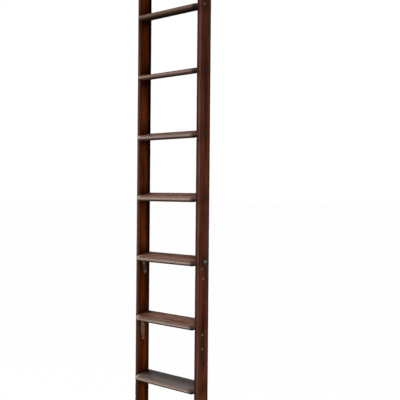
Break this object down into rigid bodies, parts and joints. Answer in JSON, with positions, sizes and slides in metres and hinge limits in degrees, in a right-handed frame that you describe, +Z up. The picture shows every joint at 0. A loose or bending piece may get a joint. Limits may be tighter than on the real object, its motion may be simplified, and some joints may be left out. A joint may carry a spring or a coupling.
{
  "type": "library ladder",
  "caption": "Leaning library ladder with flat stiles, treads housed at a pitch, rounded nosings, tie rods and brass strap brackets.",
  "frame": {"origin": "at the floor under the middle: midway between the stiles' outer washers, midway from nosings to stile backs", "axes": "+Z up along the stiles, +X across to the climber's right, +Y away from the climber"},
  "size_m": [0.412, 0.087, 2.71],
  "materials": {
    "stile_wood": "waxed, semi-gloss, vertical grain",
    "tread_wood": "waxed, worn dull on top, grain across",
    "iron": "blackened, rubbed bright at the ends",
    "steel": "dull",
    "brass": "tarnished",
    "rivet_brass": "dark, tarnished"
  },
  "bodies": {
    "root": {"stile_left": "stile_wood", "stile_right": "stile_wood", "tread_1": "tread_wood", "tread_2": "tread_wood", "tread_3": "tread_wood", "tread_4": "tread_wood", "tread_5": "tread_wood", "tread_6": "tread_wood", "tread_7": "tread_wood", "tread_8": "tread_wood", "tread_9": "tread_wood", "tie_rod_1": "iron", "tie_rod_4": "iron", "tie_rod_5": "iron", "tie_rod_6": "iron", "tie_rod_7": "iron", "tie_rod_9": "iron", "washers_recessed": "iron", "washers_4": "iron", "end_screws_8": "steel", "bracket_3_left": "brass", "bracket_3_right": "brass", "rivets_3": "rivet_brass", "shelf_screws_3": "rivet_brass", "bracket_4_left": "brass", "bracket_4_right": "brass", "rivets_4": "rivet_brass", "shelf_screws_4": "rivet_brass"}
  },
  "joints": []
}
